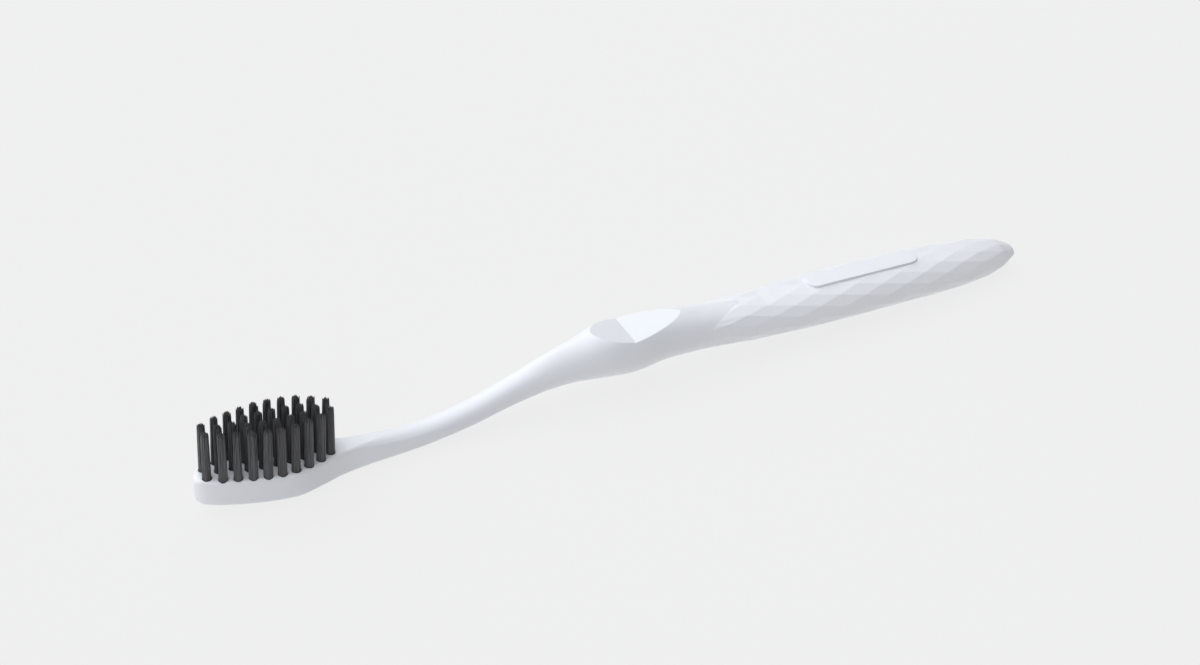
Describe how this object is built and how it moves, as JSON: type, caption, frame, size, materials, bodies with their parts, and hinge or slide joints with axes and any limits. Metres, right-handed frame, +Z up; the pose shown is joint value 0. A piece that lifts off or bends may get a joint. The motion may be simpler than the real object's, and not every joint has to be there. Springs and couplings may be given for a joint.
{
  "type": "manual toothbrush",
  "caption": "Manual toothbrush with a slim one-piece handle, faceted grip, hollow thumb rest, bare raised plate and dark bristle tufts, lying on its back.",
  "frame": {"origin": "middle of the resting brush's footprint box, on the floor it lies on", "axes": "+X along the brush from the toe of the head to the end of the handle, +Y across the brush, +Z up, the way the bristles point"},
  "size_m": [0.1762, 0.013, 0.0181],
  "materials": {
    "white_plastic": "smooth white moulded plastic with a soft satin gloss",
    "charcoal_bristle": "charcoal nylon filaments, bundled and trimmed flat with rounded tuft edges",
    "anchor_brass": "plain thin brass strip, hidden inside the head"
  },
  "bodies": {
    "root": {"handle": "white_plastic", "tuft_c01_a": "charcoal_bristle", "tuft_c01_b": "charcoal_bristle", "tuft_c02_a": "charcoal_bristle", "tuft_c02_b": "charcoal_bristle", "tuft_c02_c": "charcoal_bristle", "tuft_c03_a": "charcoal_bristle", "tuft_c03_b": "charcoal_bristle", "tuft_c03_c": "charcoal_bristle", "tuft_c04_a": "charcoal_bristle", "tuft_c04_b": "charcoal_bristle", "tuft_c04_c": "charcoal_bristle", "tuft_c04_d": "charcoal_bristle", "tuft_c05_a": "charcoal_bristle", "tuft_c05_b": "charcoal_bristle", "tuft_c05_c": "charcoal_bristle", "tuft_c05_d": "charcoal_bristle", "tuft_c06_a": "charcoal_bristle", "tuft_c06_b": "charcoal_bristle", "tuft_c06_c": "charcoal_bristle", "tuft_c06_d": "charcoal_bristle", "tuft_c07_a": "charcoal_bristle", "tuft_c07_b": "charcoal_bristle", "tuft_c07_c": "charcoal_bristle", "tuft_c07_d": "charcoal_bristle", "tuft_c08_a": "charcoal_bristle", "tuft_c08_b": "charcoal_bristle", "tuft_c08_c": "charcoal_bristle", "tuft_c08_d": "charcoal_bristle", "tuft_c09_a": "charcoal_bristle", "tuft_c09_b": "charcoal_bristle", "tuft_c09_c": "charcoal_bristle", "tuft_c10_a": "charcoal_bristle", "tuft_c10_b": "charcoal_bristle", "anchors_c01": "anchor_brass", "anchors_c02": "anchor_brass", "anchors_c03": "anchor_brass", "anchors_c04": "anchor_brass", "anchors_c05": "anchor_brass", "anchors_c06": "anchor_brass", "anchors_c07": "anchor_brass", "anchors_c08": "anchor_brass", "anchors_c09": "anchor_brass", "anchors_c10": "anchor_brass"}
  },
  "joints": []
}
